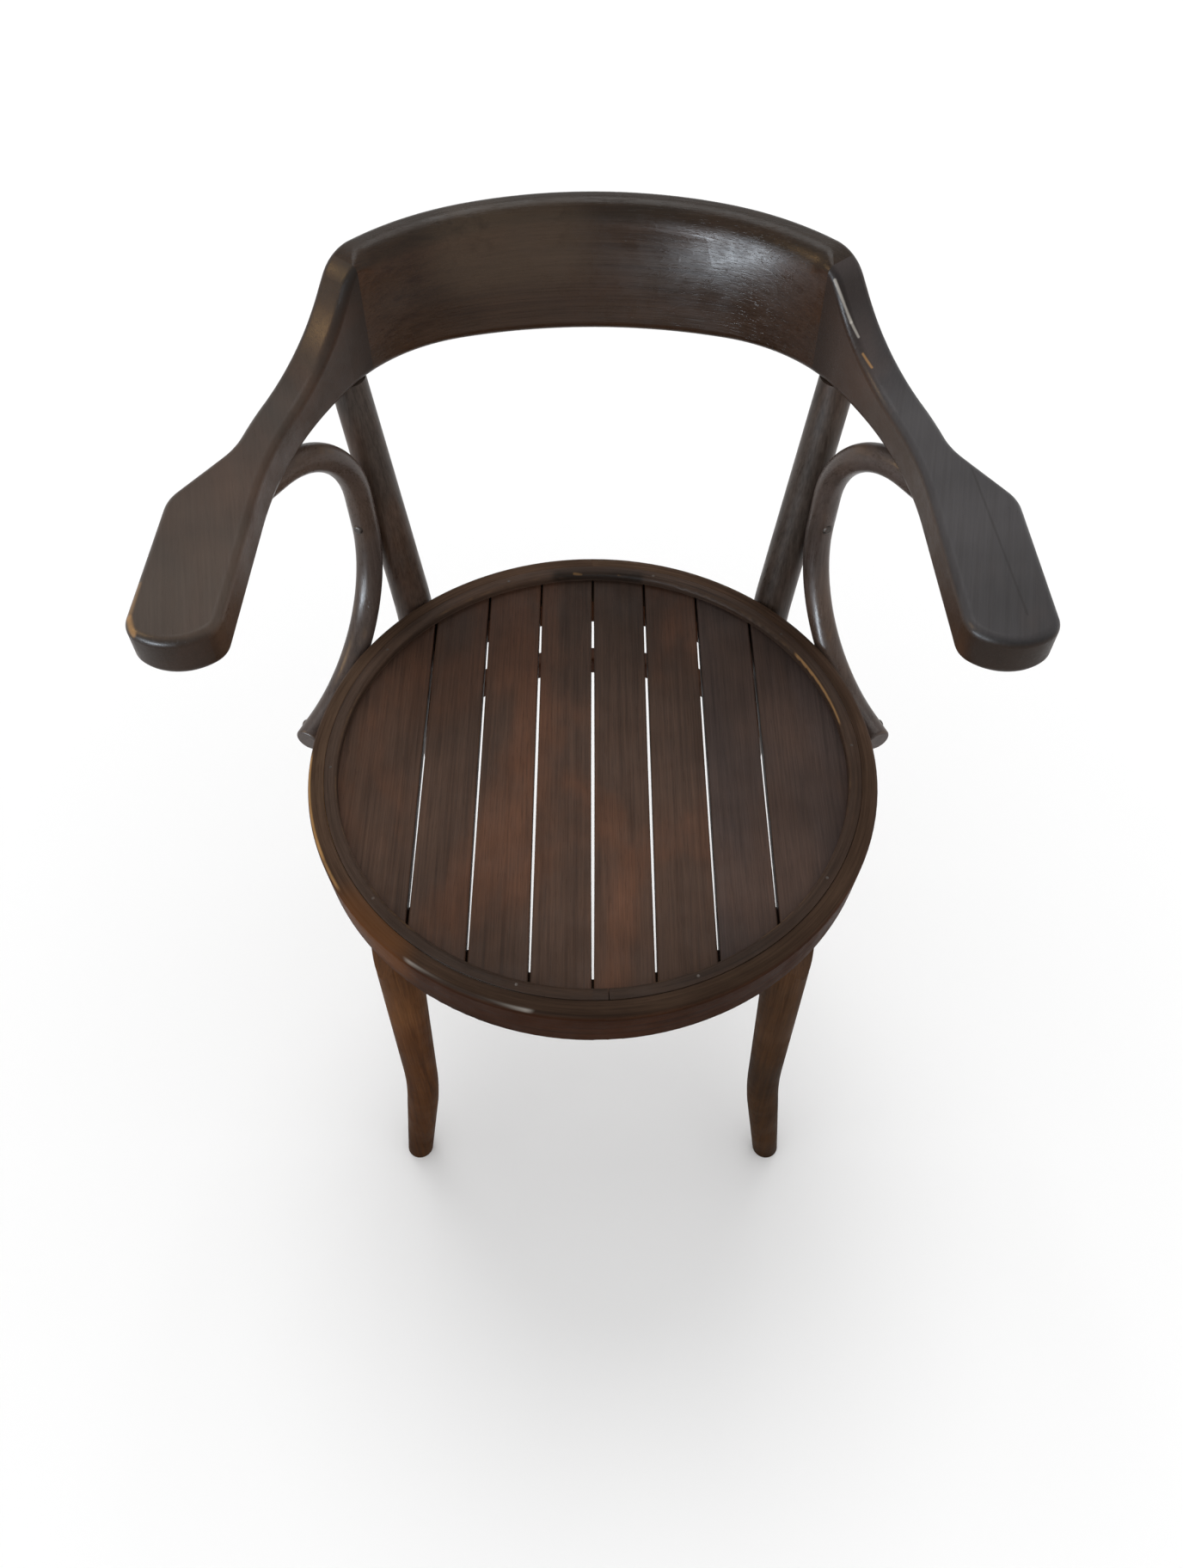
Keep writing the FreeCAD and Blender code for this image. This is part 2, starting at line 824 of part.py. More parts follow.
def loop_frame():
    """Plane of the left-hand loop below its top bend, and how far it reaches back and up in that plane."""
    start_level = seat_height - loop_below_ring_top
    contact_level = start_level + loop_lower_bend - loop_contact_drop
    post = post_at(contact_level)
    from_axis = ring_side(start_level) + loop_radius - loop_let_in
    angle = math.atan2(post.y, post.x) - math.acos(from_axis / math.hypot(post.x, post.y))
    outward = Vector(math.cos(angle), math.sin(angle), 0)
    backward = UP.cross(outward)
    return {
        "origin": (outward * from_axis).add(UP * start_level),
        "outward": outward,
        "backward": backward,
        "rise": (UP * cosine(loop_tilt)).add(outward * sine(loop_tilt)),
        "reach": backward.dot(post) - post_radius(contact_level) - loop_radius - seat_gap,
        "height": (arm_underside - loop_radius - seat_gap - start_level) / cosine(loop_tilt),
    }


def loop_point(back, up):
    frame = loop_frame()
    return frame["origin"].add(frame["backward"] * back).add(frame["rise"] * up)


def loop_lower_end():
    """How far back the loop's lower end lies, a straight run before the lower bend."""
    return loop_frame()["reach"] - loop_lower_bend - loop_lower_run


def loop_corners():
    """Centre line of the left-hand loop: along the ring, up the post and out under the arm."""
    frame = loop_frame()
    top = loop_point(frame["reach"], frame["height"])
    forward = Vector(cosine(loop_upper_heading), -sine(loop_upper_heading), 0)
    return [
        loop_point(loop_lower_end(), 0),
        loop_point(frame["reach"], 0),
        top,
        top.add(forward * (loop_upper_bend + loop_upper_run)),
    ]


def make_loop():
    loop = bent_bar(loop_corners(), [loop_lower_bend, loop_upper_bend], [loop_radius] * 4)
    tip = loop_corners()[0]
    along = loop_frame()["backward"]
    rim = [edge for edge in loop.Edges if lies_in([edge.Vertexes[0].Point], tip, along)]
    return loop.makeFillet(loop_end_round, [edge for edge in rim if edge.isClosed()])


# Round-head screws, each as a seat point and a direction into the wood

def loop_screws():
    frame = loop_frame()
    side = loop_radius - flat_depth(loop_radius, screw_head_radius)
    screws = []
    for from_end in loop_ring_screws:
        place = loop_point(loop_lower_end() + from_end, 0)
        screws.append((place.add(frame["outward"] * side), frame["outward"] * -1))
    contact = loop_point(frame["reach"], loop_lower_bend + loop_post_screw)
    screws.append((contact.sub(frame["backward"] * side), frame["backward"]))
    start, low, top, end = loop_corners()
    under_arm = end.add(top.sub(end).normalize() * loop_arm_screw)
    screws.append((under_arm.sub(UP * side), UP))
    return screws


def hoop_screws():
    screws = []
    inner = hoop_outer_radius() - hoop_width + hoop_screw_sink
    for leg in (front_leg_at_hoop(), rear_leg_at_hoop()):
        outward = leg.sub(hoop_centre()).normalize()
        screws.append((hoop_centre().add(outward * inner), outward))
    return screws


def make_screw(seat, direction):
    head_top = seat.sub(direction * screw_head_height)
    head = rod(screw_head_radius, seat, head_top)
    rim = [edge for edge in head.Edges if lies_in([edge.Vertexes[0].Point], head_top, direction)]
    head = head.makeFillet(screw_head_round, [edge for edge in rim if edge.isClosed()])
    return head.fuse(rod(screw_radius, seat, seat.add(direction * screw_length))).removeSplitter()


def screw_hole(seat, direction):
    shank = rod(screw_radius + hole_gap, seat, seat.add(direction * (screw_length + seat_gap)))
    head_room = rod(screw_head_radius + hole_gap, seat, seat.sub(direction * screw_length))
    return shank.fuse(head_room)


# Pieces with their joints cut

def ring_saddle():
    """The ring's outside, as the rear legs and the loops are hollowed to fit it."""
    low = ring_bottom - seat_gap
    high = seat_height + seat_gap
    low_radius = ring_side(low) + glue_gap
    high_radius = ring_side(high) + glue_gap
    return Part.makeCone(low_radius, high_radius, high - low, Vector(0, 0, low))


def with_mirror(shapes):
    return shapes + [mirrored(shape) for shape in shapes]


def build_parts():
    parts = {}
    hoop = make_hoop()
    loop_holes = [screw_hole(*screw) for screw in loop_screws()]
    hoop_holes = [screw_hole(*screw) for screw in hoop_screws()]
    ring_holes = with_mirror([front_leg_socket(), bolt_hole()] + loop_holes)
    parts["seat_ring"] = make_ring().cut(ring_holes)
    nail_holes = [nail_hole(place) for place in nail_places()]
    for number, slat in enumerate(make_slats(), 1):
        parts["slat_%d" % number] = slat.cut(nail_holes)
    parts["seat_bead"] = make_bead().cut(nail_holes)
    parts["bead_nails"] = Part.makeCompound([make_nail(place) for place in nail_places()])

    rear_leg_cuts = [ring_saddle(), hoop, bolt_hole(), bolt_head_recess()]
    rear_leg = make_rear_leg().cut(rear_leg_cuts + loop_holes + hoop_holes)
    crest = make_crest().cut(with_mirror(dowel_holes()))
    arm = make_arm().cut(dowel_holes() + [rear_leg_socket()] + loop_holes)
    sides = {
        "front_leg": make_front_leg().cut([hoop] + hoop_holes),
        "rear_leg": rear_leg,
        "arm_loop": make_loop().cut([ring_saddle()] + loop_holes),
        "arm": arm.cut(cheek_side()),
        "arm_cheek": arm.common(cheek_side()),
    }
    for name, shape in sides.items():
        parts[name + "_left"] = shape
        parts[name + "_right"] = mirrored(shape)
    parts["stretcher_hoop"] = hoop.cut(with_mirror(hoop_holes))
    parts["back_crest"] = crest
    parts["crest_dowels"] = Part.makeCompound(with_mirror(make_dowels()))
    parts["rear_leg_bolts"] = both_sides(make_bolt())
    parts["rear_leg_nuts"] = both_sides(make_nut())
    parts["loop_screws"] = Part.makeCompound(with_mirror([make_screw(*screw) for screw in loop_screws()]))
    parts["hoop_screws"] = Part.makeCompound(with_mirror([make_screw(*screw) for screw in hoop_screws()]))
    return parts


parts = build_parts()
front = parts["seat_ring"].optimalBoundingBox().YMin
back = parts["back_crest"].optimalBoundingBox().YMax
to_origin = Vector(0, -(front + back) / 2, 0)
os.makedirs("parts", exist_ok=True)
for name, shape in parts.items():
    shape.translate(to_origin)
    shape.exportStep("parts/%s.step" % name)
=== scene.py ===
"""Looks of the bentwood armchair: stained wood, steel, floor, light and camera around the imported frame."""

import math
from collections import namedtuple

import bpy
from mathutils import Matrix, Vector


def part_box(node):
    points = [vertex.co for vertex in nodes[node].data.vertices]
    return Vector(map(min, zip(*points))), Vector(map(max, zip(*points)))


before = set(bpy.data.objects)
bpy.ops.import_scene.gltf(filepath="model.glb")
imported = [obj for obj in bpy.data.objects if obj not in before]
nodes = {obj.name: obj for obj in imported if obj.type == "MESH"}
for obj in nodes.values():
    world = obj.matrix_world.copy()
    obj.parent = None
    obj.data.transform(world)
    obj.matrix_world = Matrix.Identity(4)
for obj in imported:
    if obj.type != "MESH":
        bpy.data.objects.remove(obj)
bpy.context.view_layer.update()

# Places read from the frame, in metres
ring_low, ring_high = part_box("seat_ring")
loop_low, loop_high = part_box("arm_loop_left")
crest_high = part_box("back_crest")[1]
arm_back_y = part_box("arm_left")[1].y
seat_centre_y = (ring_low.y + ring_high.y) / 2
seat_top = ring_high.z
seat_middle = Vector((0.0, seat_centre_y, seat_top))
ring_radius = ring_high.x

# Camera, as the photograph was taken: pixels, millimetres of sensor, degrees and metres
photo_height = 1824
focal_pixels = 1450.0
sensor_height = 36.0
camera_pitch = 54.33
camera_before_seat = 0.5802
camera_above_seat = 0.7716
camera_shift_pixels = -1.5

# Light: the sun's place in metres from the seat's middle, and the sky's levels as shares of white
key_from_seat = Vector((-0.1, 1.0, 2.0))
key_energy = 0.85
key_spread = math.radians(32)
sky_at_horizon = 0.77
sky_brightest = 1.16
sky_overhead_share = 0.48

# Floor, in metres and a share of white
floor_half_side = 20.0
floor_level = -0.0003
floor_white = 0.94

# Places and turns of the stain and the grain, in metres and degrees
grey_slats_from_x = 0.06
shoulder_length = 0.085
arm_grain_turn = 12.0
loop_bend_from_front = 0.045
loop_bend = 0.10
crest_grain_radius = 0.394

# How the crest's face rolls over towards its top, in metres
crest_roll_start = 0.060
crest_roll_radius = 0.15
crest_roll_end = 0.017
crest_roll_fall = 0.008

# Cells of the wood's patterns in a metre, along the grain and twice across it, or in any direction
streak_cells = (4.0, 210.0, 210.0)
fine_cells = (16.0, 620.0, 620.0)
pore_cells = (70.0, 1500.0, 1500.0)
patch_cells = (5.0, 11.0, 11.0)
crazing_cells = (110.0, 330.0, 330.0)
cloud_cells = 8.0
smudge_cells = 38.0

# Heights of the wood's surface, in metres
streak_height = 0.00006
fine_height = 0.00004
pore_depth = 0.00005
crest_crazing = 0.00002

# Stains in linear colour: dark grain, middle tone and warm patches
palettes = {
    "slat": [(0.032, 0.017, 0.011), (0.060, 0.034, 0.023), (0.096, 0.041, 0.022)],
    "grey_slat": [(0.029, 0.019, 0.016), (0.051, 0.034, 0.029), (0.058, 0.034, 0.025)],
    "ring": [(0.028, 0.010, 0.0045), (0.049, 0.018, 0.008), (0.068, 0.026, 0.011)],
    "bead": [(0.026, 0.015, 0.010), (0.050, 0.031, 0.022), (0.062, 0.034, 0.021)],
    "light_leg": [(0.042, 0.016, 0.006), (0.076, 0.031, 0.012), (0.104, 0.046, 0.018)],
    "dark_leg": [(0.028, 0.013, 0.006), (0.048, 0.024, 0.012), (0.066, 0.031, 0.014)],
    "rear_leg": [(0.034, 0.024, 0.018), (0.064, 0.048, 0.039), (0.088, 0.048, 0.030)],
    "loop": [(0.042, 0.030, 0.024), (0.084, 0.063, 0.055), (0.104, 0.066, 0.046)],
    "arm": [(0.024, 0.013, 0.008), (0.042, 0.025, 0.016), (0.058, 0.028, 0.016)],
    "crest": [(0.020, 0.009, 0.005), (0.038, 0.020, 0.011), (0.060, 0.025, 0.011)],
}

# Other linear colours
white = (1.0, 1.0, 1.0)
# Bare wood where the stain is worn through; the same tint also paints warm glints along edges of the ring,
# the bead and the arms.
bare_wood_and_glint = (0.40, 0.22, 0.085)
# Pale tint of painted white highlights on the ring's front edge and on an arm's shoulder.
pale_glint = (0.62, 0.58, 0.52)
# Tint of a painted warm glow on the ring's side at the front.
orange_glow = (0.15, 0.055, 0.015)
# Tint of a painted bronze sheen on the crest's face.
bronze_sheen = (0.12, 0.080, 0.050)
dark_gap = (0.010, 0.007, 0.005)
rust_brown = (0.05, 0.022, 0.010)

# A line in metres along which the stain takes another tint, all over or only on upper edges; some are
# chips, cracks and breaks, others painted highlights, glows and sheens
Mark = namedtuple("Mark", "start end radius amount tint edges_only", defaults=[False])


class Graph:
    """Short way to write a node tree: most calls add nodes and return an output."""

    def __init__(self, tree):
        self.tree = tree
        tree.nodes.clear()

    def add(self, kind, inputs=None, **settings):
        """Adds a node with its settings and its inputs, linked or constant, and returns the node."""
        node = self.tree.nodes.new(kind)
        for name, value in settings.items():
            setattr(node, name, value)
        for key, value in (inputs or {}).items():
            if isinstance(value, bpy.types.NodeSocket):
                self.tree.links.new(value, node.inputs[key])
            else:
                node.inputs[key].default_value = value
        return node

    def math(self, operation, first, second, clamp=False):
        node = self.add("ShaderNodeMath", {0: first, 1: second}, operation=operation, use_clamp=clamp)
        return node.outputs[0]

    def product(self, *values):
        result = values[0]
        for value in values[1:]:
            result = self.math("MULTIPLY", result, value)
        return result

    def vector(self, operation, first, second=(0.0, 0.0, 0.0)):
        node = self.add("ShaderNodeVectorMath", {0: first, 1: second}, operation=operation)
        return node.outputs["Value" if operation in ("DOT_PRODUCT", "LENGTH", "DISTANCE") else "Vector"]

    def split(self, vector):
        return self.add("ShaderNodeSeparateXYZ", {0: vector}).outputs

    def join(self, x, y, z):
        return self.add("ShaderNodeCombineXYZ", {0: x, 1: y, 2: z}).outputs[0]

    def noise(self, vector, scale, detail, roughness=0.55, distortion=0.0):
        inputs = {"Vector": vector, "Scale": scale, "Detail": detail, "Roughness": roughness}
        inputs["Distortion"] = distortion
        return self.add("ShaderNodeTexNoise", inputs).outputs["Fac"]

    def line_distance(self, position, start, end):
        """Distance from the straight line between two places."""
        along = Vector(end) - Vector(start)
        offset = self.vector("SUBTRACT", position, start)
        share = self.vector("DOT_PRODUCT", offset, along / along.length_squared)
        share = self.math("MULTIPLY", share, 1.0, clamp=True)
        nearest = self.vector("MULTIPLY", self.join(share, share, share), along)
        return self.vector("DISTANCE", offset, nearest)

    def limited(self, value, low, high):
        return self.math("MINIMUM", self.math("MAXIMUM", value, low), high)

    def ramp(self, value, low, high, to_low=0.0, to_high=1.0):
        """Value mapped from one range to another with soft ends."""
        inputs = {"Value": value, 1: low, 2: high, 3: to_low, 4: to_high}
        node = self.add("ShaderNodeMapRange", inputs, interpolation_type="SMOOTHSTEP")
        return node.outputs[0]

    def mix(self, factor, first, second):
        node = self.add("ShaderNodeMix", {0: factor, 6: first, 7: second}, data_type="RGBA")
        return node.outputs[2]

    def shade(self, colour_socket, factor):
        """Colour times a plain factor."""
        return self.vector("MULTIPLY", colour_socket, self.join(factor, factor, factor))


def colour(rgb):
    return (*rgb, 1.0)


def new_material(name):
    material = bpy.data.materials.new(name)
    material.use_nodes = True
    return material, Graph(material.node_tree)


# Ways in which the grain lies, as coordinates along it and twice across it
def along_axis(axis, turn=0.0):
    """Grain that runs straight along an axis, after a turn about the upright in degrees."""
    order = {"y": (1, 0, 2), "z": (2, 0, 1)}[axis]

    def place(graph, position):
        inputs = {"Vector": position, "Angle": math.radians(turn)}
        turned = graph.add("ShaderNodeVectorRotate", inputs, rotation_type="Z_AXIS").outputs[0]
        parts = graph.split(turned)
        return graph.join(*[parts[index] for index in order])

    return place


def around(centre_y, seam_ahead):
    """Grain that runs round an upright axis, with its seam at the front or the back."""
    side = 1.0 if seam_ahead else -1.0

    def place(graph, position):
        x, y, z = graph.split(graph.vector("SUBTRACT", position, (0.0, centre_y, 0.0)))
        angle = graph.math("ARCTAN2", graph.math("MULTIPLY", x, side), graph.math("MULTIPLY", y, side))
        radius = graph.vector("LENGTH", graph.join(x, y, 0.0))
        return graph.join(graph.math("MULTIPLY", angle, ring_radius), radius, z)

    return place


def round_the_side(centre_y, centre_z, bend):
    """Grain that follows a rod bent about an axis across the chair."""

    def place(graph, position):
        x, y, z = graph.split(graph.vector("SUBTRACT", position, (0.0, centre_y, centre_z)))
        angle = graph.math("ARCTAN2", z, y)
        radius = graph.vector("LENGTH", graph.join(0.0, y, z))
        return graph.join(graph.math("MULTIPLY", angle, bend), radius, x)

    return place


# Wood
def wood_patterns(graph, grain, position):
    """Noises that follow the grain, and clouds and smudges that don't."""

    def in_grain(cells, *settings):
        return graph.noise(graph.vector("MULTIPLY", grain, cells), 1.0, *settings)

    return {
        "streaks": in_grain(streak_cells, 4.0, 0.6, 0.2),
        "fine": in_grain(fine_cells, 3.0, 0.7),
        "pores": graph.ramp(in_grain(pore_cells, 1.0), 0.60, 0.74),
        "patches": in_grain(patch_cells, 4.0, 0.55, 0.3),
        "clouds": graph.noise(position, cloud_cells, 3.0),
        "smudges": graph.noise(position, smudge_cells, 5.0, 0.65),
    }


def stained(graph, patterns, palette, contrast, patch):
    """Stain that is darker in the streaks and pores, with warm patches and soft clouds."""
    dark, middle, warm = [colour(rgb) for rgb in palettes[palette]]
    between = graph.ramp(patterns["streaks"], 0.22, 0.60, 0.7 - 0.7 * contrast, 0.7 + 0.3 * contrast)
    stain = graph.mix(between, dark, middle)
    stain = graph.mix(graph.ramp(patterns["patches"], 0.44, 0.66, 0.0, patch), stain, warm)
    stain = graph.shade(stain, graph.ramp(patterns["clouds"], 0.30, 0.70, 0.78, 1.20))
    lines = graph.ramp(patterns["fine"], 0.25, 0.75, 1.0 - 0.26 * contrast, 1.0 + 0.24 * contrast)
    stain = graph.shade(stain, lines)
    return graph.mix(graph.math("MULTIPLY", patterns["pores"], 0.45 * contrast), stain, dark)


def worn(graph, stain, smudges, position, facing_up, wear, marks):
    """Stain rubbed down to bare wood on the upper edges, and tinted along the marks and painted glints."""
    edge = graph.product(graph.ramp(facing_up, 0.36, 0.56), graph.ramp(facing_up, 0.72, 0.90, 1.0, 0.0))
    rubbed = graph.product(edge, graph.ramp(smudges, 0.48, 0.68, 0.0, wear))
    stain = graph.mix(rubbed, stain, colour(bare_wood_and_glint))
    broken = graph.ramp(smudges, 0.25, 0.48, 0.35, 1.0)
    # Each mark tints the stain along its line; some are chips, cracks and breaks, others painted highlights,
    # glows and sheens.
    for mark in marks:
        far = graph.line_distance(position, mark.start, mark.end)
        near = graph.product(graph.ramp(far, mark.radius * 0.25, mark.radius, mark.amount, 0.0), broken)
        if mark.edges_only:
            near = graph.product(near, edge)
        stain = graph.mix(near, stain, colour(mark.tint))
    return stain


def surface_height(graph, patterns, grain, crazed):
    """Height of the grain, with its open pores and the cracks of a crazed varnish."""
    height = graph.math("ADD", graph.math("MULTIPLY", patterns["streaks"], streak_height),
                        graph.math("MULTIPLY", patterns["fine"], fine_height))
    height = graph.math("SUBTRACT", height, graph.math("MULTIPLY", patterns["pores"], pore_depth))
    if crazed:
        inputs = {"Vector": graph.vector("MULTIPLY", grain, crazing_cells), "Scale": 1.0}
        cells = graph.add("ShaderNodeTexVoronoi", inputs, feature="DISTANCE_TO_EDGE")
        cracks = graph.ramp(cells.outputs["Distance"], 0.0, 0.10, -crazed, 0.0)
        height = graph.math("ADD", height, cracks)
    return height


def wood(name, grain_place, palette, gloss=0.42, shine=0.10, contrast=1.0, patch=0.6, wear=0.08,
         top=None, marks=(), fade=None, roll=None, crazed=0.0):
    """Stained and shellacked wood.

    gloss is the middle roughness and shine the strength of reflections. contrast is how much the grain
    shows, patch how warm the patches are, and wear how bare the upper edges are. top is a painted sheen:
    a tint of the faces that look up, which stands in for the sky they reflect. marks are lines with a tint
    of their own: chips, cracks and breaks, and painted highlights, glows and sheens. fade is a function of
    the graph, the position and the normal that tints the stain, and roll is one of the graph and the
    position that bends the face in the bump. crazed is the depth of a crazed varnish in metres.
    """
    material, graph = new_material(name)
    coordinates = graph.add("ShaderNodeTexCoord")
    position = coordinates.outputs["Object"]
    normal = coordinates.outputs["Normal"]
    facing_up = graph.split(normal)[2]
    grain = grain_place(graph, position)
    patterns = wood_patterns(graph, grain, position)
    smudges = patterns["smudges"]

    stain = stained(graph, patterns, palette, contrast, patch)
    # The top tint is a painted sheen on the faces that look up, which stands in for the sky they reflect.
    if top:
        level = graph.ramp(facing_up, 0.15, 0.75)
        stain = graph.mix(level, stain, graph.vector("MULTIPLY", stain, top))
    if fade:
        stain = graph.vector("MULTIPLY", stain, fade(graph, position, normal))
    stain = worn(graph, stain, smudges, position, facing_up, wear, marks)

    roughness = graph.math("ADD", graph.ramp(smudges, 0.3, 0.7, gloss - 0.07, gloss + 0.09),
                           graph.ramp(patterns["fine"], 0.3, 0.7, -0.03, 0.05))
    height = surface_height(graph, patterns, grain, crazed)
    if roll:
        height = graph.math("ADD", height, roll(graph, position))
    bump = graph.add("ShaderNodeBump", {"Strength": 1.0, "Distance": 1.0, "Height": height})

    shader = graph.add("ShaderNodeBsdfPrincipled", {
        "Base Color": stain, "Roughness": roughness, "Normal": bump.outputs[0], "Specular IOR Level": shine,
    })
    graph.add("ShaderNodeOutputMaterial", {0: shader.outputs[0]})
    return material


def steel(name, low, high, metallic):
    """Dull aged steel with rust-brown specks, between two colours."""
    material, graph = new_material(name)
    position = graph.add("ShaderNodeTexCoord").outputs["Object"]
    tarnish = graph.noise(position, 420.0, 5.0, 0.7)
    rust = graph.ramp(graph.noise(position, 900.0, 3.0), 0.52, 0.70)
    base = graph.mix(tarnish, colour(low), colour(high))
    base = graph.mix(rust, base, colour(rust_brown))
    shader = graph.add("ShaderNodeBsdfPrincipled", {
        "Base Color": base, "Metallic": metallic,
        "Roughness": graph.ramp(tarnish, 0.3, 0.7, 0.34, 0.62),
    })
    graph.add("ShaderNodeOutputMaterial", {0: shader.outputs[0]})
    return material


def dress(name, material):
    slots = nodes[name].data.materials
    slots.clear()
    slots.append(material)


# Tints and bends of single pieces
def fading(axis, low, high, at_low, at_high):
    """Tint that changes from one colour to another between two places on an axis."""

    def fade(graph, position, normal):
        share = graph.ramp(graph.split(position)["xyz".index(axis)], low, high)
        return graph.mix(share, colour(at_low), colour(at_high))

    return fade


def darker_at_the_ends(graph, position, normal):
    """The front ends of the arms and their shoulders are darker than the level tops."""
    shoulder_y = arm_back_y - shoulder_length
    ends = graph.ramp(graph.split(normal)[1], -0.85, -0.35, 0.48, 1.0)
    shoulders = graph.ramp(graph.split(position)[1], shoulder_y - 0.01, shoulder_y + 0.07, 1.25, 0.72)
    both = graph.math("MULTIPLY", ends, shoulders)
    return graph.join(both, both, both)


def darker_top_edge(graph, position, normal):
    """The crest's faces along its top edge that look partly up are darker and greener."""
    level = graph.ramp(graph.split(normal)[2], 0.10, 0.60)
    return graph.mix(level, colour(white), colour((0.50, 0.56, 0.54)))


def rolled_over(graph, position):
    """The crest's face rolls over towards its rounded top edge, and the roll dies out in the round."""
    length = crest_roll_start - crest_roll_end
    slope = length / crest_roll_radius
    risen = graph.math("SUBTRACT", graph.split(position)[2], crest_high.z - crest_roll_start)
    rising = graph.limited(risen, 0.0, length)
    falling = graph.limited(graph.math("SUBTRACT", risen, length), 0.0, crest_roll_fall)
    rise = graph.product(rising, rising, -0.5 / crest_roll_radius)
    fall = graph.math("SUBTRACT", graph.product(falling, falling, 0.5 * slope / crest_roll_fall),
                      graph.product(falling, slope))
    return graph.math("ADD", rise, fall)


# Wood on the seat
def on_seat(radius, degrees, below_top=0.0):
    """Place about the seat's centre, with the angle counted from the sitter's left towards the back."""
    angle = math.radians(degrees)
    offset = Vector((radius * math.cos(angle), radius * math.sin(angle), -below_top))
    return seat_middle + offset


# Painted light on the ring: a warm highlight along its outer top edge on the sitter's right, a pale
# highlight along that edge further to the front, and an orange glow on the side between them.
ring_painted_light = [
    Mark(on_seat(0.2181, 181.8), on_seat(0.2152, 202.4), 0.014, 0.8, bare_wood_and_glint, edges_only=True),
    Mark(on_seat(0.2152, 202.4), on_seat(0.2154, 211.3), 0.010, 0.6, bare_wood_and_glint, edges_only=True),
    Mark(on_seat(0.2142, 234.3), on_seat(0.2147, 257.9), 0.008, 0.4, pale_glint, edges_only=True),
    Mark(on_seat(0.2222, 218.0, 0.016), on_seat(0.2188, 228.5, 0.016), 0.034, 0.5, orange_glow),
]
bead_marks_and_glint = [
    # Painted warm highlight along the bead's inner edge on the sitter's left, towards the back; the dark
    # mark behind it stands for a break and the two small ones are chips.
    Mark(on_seat(0.1983, 31.0), on_seat(0.1997, 11.0), 0.008, 0.55, bare_wood_and_glint, edges_only=True),
    Mark(on_seat(0.1972, 98.5), on_seat(0.1968, 78.9), 0.009, 0.8, dark_gap),
    Mark(on_seat(0.1987, 94.6), on_seat(0.1973, 92.9), 0.0018, 0.25, bare_wood_and_glint),
    Mark(on_seat(0.1973, 83.6), on_seat(0.1964, 82.1), 0.0015, 0.25, bare_wood_and_glint),
]
darker_ahead = fading("y", seat_centre_y - 0.22, seat_centre_y - 0.06, (0.68, 0.68, 0.68), white)
# Painted shade: the slats darken towards the back, where the crest and arms shade the seat.
painted_shade_behind = fading("y", seat_centre_y - 0.02, seat_centre_y + 0.19, white, (0.5, 0.5, 0.5))
seam_behind = around(seat_centre_y, seam_ahead=False)
seam_in_front = around(seat_centre_y, seam_ahead=True)
# The ring's top tint is a painted sheen that makes its level top lighter and greyer than its sides.
dress("seat_ring", wood("ring_wood", seam_behind, "ring", gloss=0.46, shine=0.01, wear=0.0,
                        top=(1.2, 1.95, 2.9), marks=ring_painted_light, fade=darker_ahead))
dress("stretcher_hoop", wood("hoop_wood", seam_in_front, "ring", shine=0.05))
dress("seat_bead", wood("bead_wood", seam_in_front, "bead", gloss=0.48, shine=0.06,
                        marks=bead_marks_and_glint, fade=darker_ahead))
for name in sorted(name for name in nodes if name.startswith("slat_")):
    palette = "grey_slat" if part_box(name)[0].x > grey_slats_from_x else "slat"
    dress(name, wood(name + "_wood", along_axis("y"), palette, gloss=0.50, shine=0.08, contrast=0.8,
                     patch=0.8, fade=painted_shade_behind))

# Wood on the legs
darker_foot = fading("z", 0.0, 0.40, (0.62, 0.60, 0.52), white)
redder_below = fading("z", seat_top - 0.16, seat_top + 0.10, (0.74, 0.48, 0.34), white)
for side, front_palette in (("left", "dark_leg"), ("right", "light_leg")):
    dress("front_leg_" + side, wood("front_leg_wood_" + side, along_axis("z"), front_palette, gloss=0.5,
                                    shine=0.01, fade=darker_foot))
    dress("rear_leg_" + side, wood("rear_leg_wood_" + side, along_axis("z"), "rear_leg", gloss=0.34,
                                   shine=0.14, patch=0.9, fade=redder_below))

# Wood on the arms and loops, with the marks and painted glints in metres in the part's frame
# The arms' top tints are a painted sheen: the level tops are lighter and greyer, coolest on the sitter's
# left, as if they reflect the sky.
arm_top_sheens = {"left": (0.97, 1.53, 2.46), "right": (1.03, 1.28, 1.55)}
arm_marks_and_glints = {
    "left": [
        # Painted white highlight along the inner top edge of the sitter's left arm at its shoulder.
        Mark((0.1675, 0.1632, 0.7340), (0.1806, 0.1469, 0.7120), 0.0016, 0.5, pale_glint),
        Mark((0.1806, 0.1469, 0.7120), (0.1860, 0.1400, 0.7050), 0.0014, 0.4, pale_glint),
        # Bare wood worn through on the shoulder's inner edge, with a painted warm glint on it.
        Mark((0.1890, 0.1300, 0.6985), (0.1950, 0.1215, 0.6935), 0.0014, 0.6, bare_wood_and_glint),
        Mark((0.2500, 0.0250, 0.6850), (0.2600, -0.1060, 0.6850), 0.0012, 0.3, dark_gap),
    ],
    "right": [
        # Bare wood worn through along the outer top edge of the sitter's right arm, with a painted warm
        # glint on it.
        Mark((-0.2772, -0.0800, 0.6835), (-0.2772, -0.1080, 0.6835), 0.0030, 0.35, bare_wood_and_glint),
        Mark((-0.2772, -0.1080, 0.6835), (-0.2725, -0.1200, 0.6830), 0.0032, 0.65, bare_wood_and_glint),
    ],
}
loop_grain = round_the_side(loop_low.y + loop_bend_from_front, (loop_low.z + loop_high.z) / 2, loop_bend)
